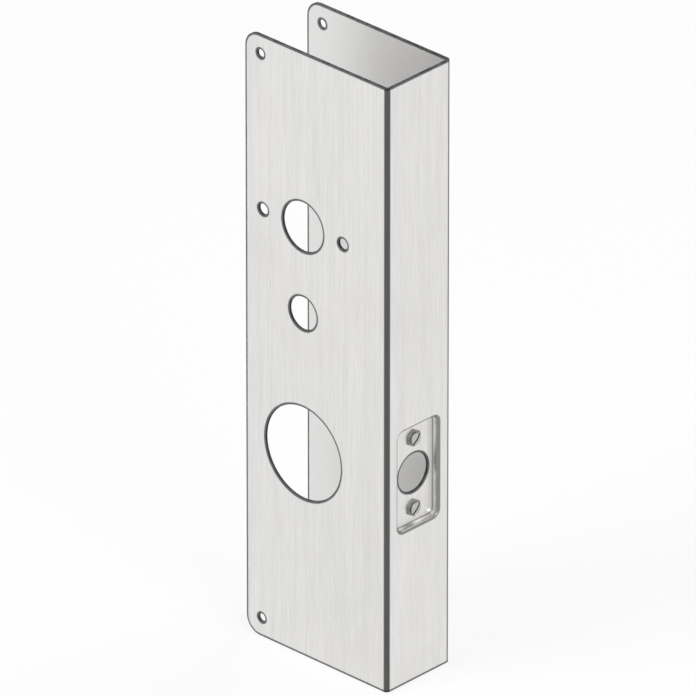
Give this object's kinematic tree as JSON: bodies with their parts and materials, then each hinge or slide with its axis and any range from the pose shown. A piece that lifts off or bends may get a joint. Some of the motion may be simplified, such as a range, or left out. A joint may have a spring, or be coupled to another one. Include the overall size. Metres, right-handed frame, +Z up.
{
  "type": "door reinforcer plate",
  "caption": "U-shaped steel wrap for a door edge, with a lock bore, smaller bores and screw holes through both sides, and a pressed latch recess with hex nuts and slotted screws.",
  "frame": {"origin": "middle of the channel at its lower end, at the centre of the bounding box's bottom face", "axes": "+Z up the door's edge; +X out of the door's edge, from the leaves' free edges to the web with the latch recess; -Y out of the front leaf, +Y out of the back leaf"},
  "size_m": [0.1016, 0.048, 0.3556],
  "materials": {
    "satin_stainless": "satin, brushed along its length",
    "plated_nut": "bright plated",
    "plated_screw": "bright plated"
  },
  "bodies": {
    "root": {"reinforcer_plate": "satin_stainless", "upper_latch_nut": "plated_nut", "lower_latch_nut": "plated_nut", "upper_latch_screw": "plated_screw", "lower_latch_screw": "plated_screw"}
  },
  "joints": []
}
